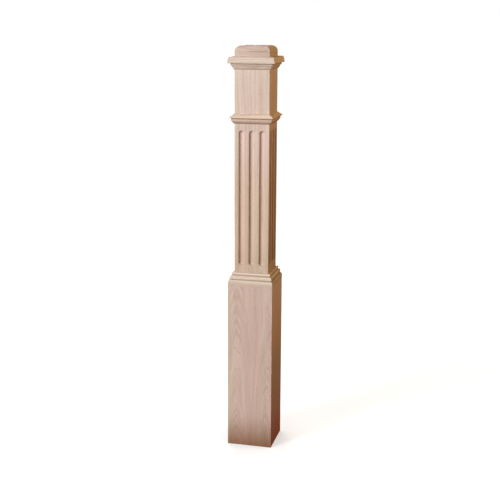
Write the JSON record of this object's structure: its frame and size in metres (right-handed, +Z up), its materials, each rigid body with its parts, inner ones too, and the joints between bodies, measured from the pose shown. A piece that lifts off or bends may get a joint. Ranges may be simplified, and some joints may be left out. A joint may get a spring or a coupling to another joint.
{
  "type": "newel post",
  "caption": "Hollow square box newel post: wide plain lower box, fluted narrower shaft, mitred base, collar and cap mouldings, and a block top with rounded edges.",
  "frame": {"origin": "on the floor, under the centre of the post", "axes": "+Z up along the post; the front faces -Y and its right side +X; all four sides are alike"},
  "size_m": [0.1602, 0.1602, 1.41],
  "materials": {
    "oak_board": "bare sanded red oak, straight and cathedral grain along the board",
    "oak_moulding": "bare moulded red oak, grain along the length",
    "oak_block": "bare sanded red oak block, grain from left to right"
  },
  "bodies": {
    "root": {"lower_board_front": "oak_board", "lower_board_right": "oak_board", "lower_board_back": "oak_board", "lower_board_left": "oak_board", "shaft_board_front": "oak_board", "shaft_board_right": "oak_board", "shaft_board_back": "oak_board", "shaft_board_left": "oak_board", "base_moulding_front": "oak_moulding", "base_moulding_right": "oak_moulding", "base_moulding_back": "oak_moulding", "base_moulding_left": "oak_moulding", "collar_front": "oak_moulding", "collar_right": "oak_moulding", "collar_back": "oak_moulding", "collar_left": "oak_moulding", "cap_moulding_front": "oak_moulding", "cap_moulding_right": "oak_moulding", "cap_moulding_back": "oak_moulding", "cap_moulding_left": "oak_moulding", "cap_block": "oak_block"}
  },
  "joints": []
}
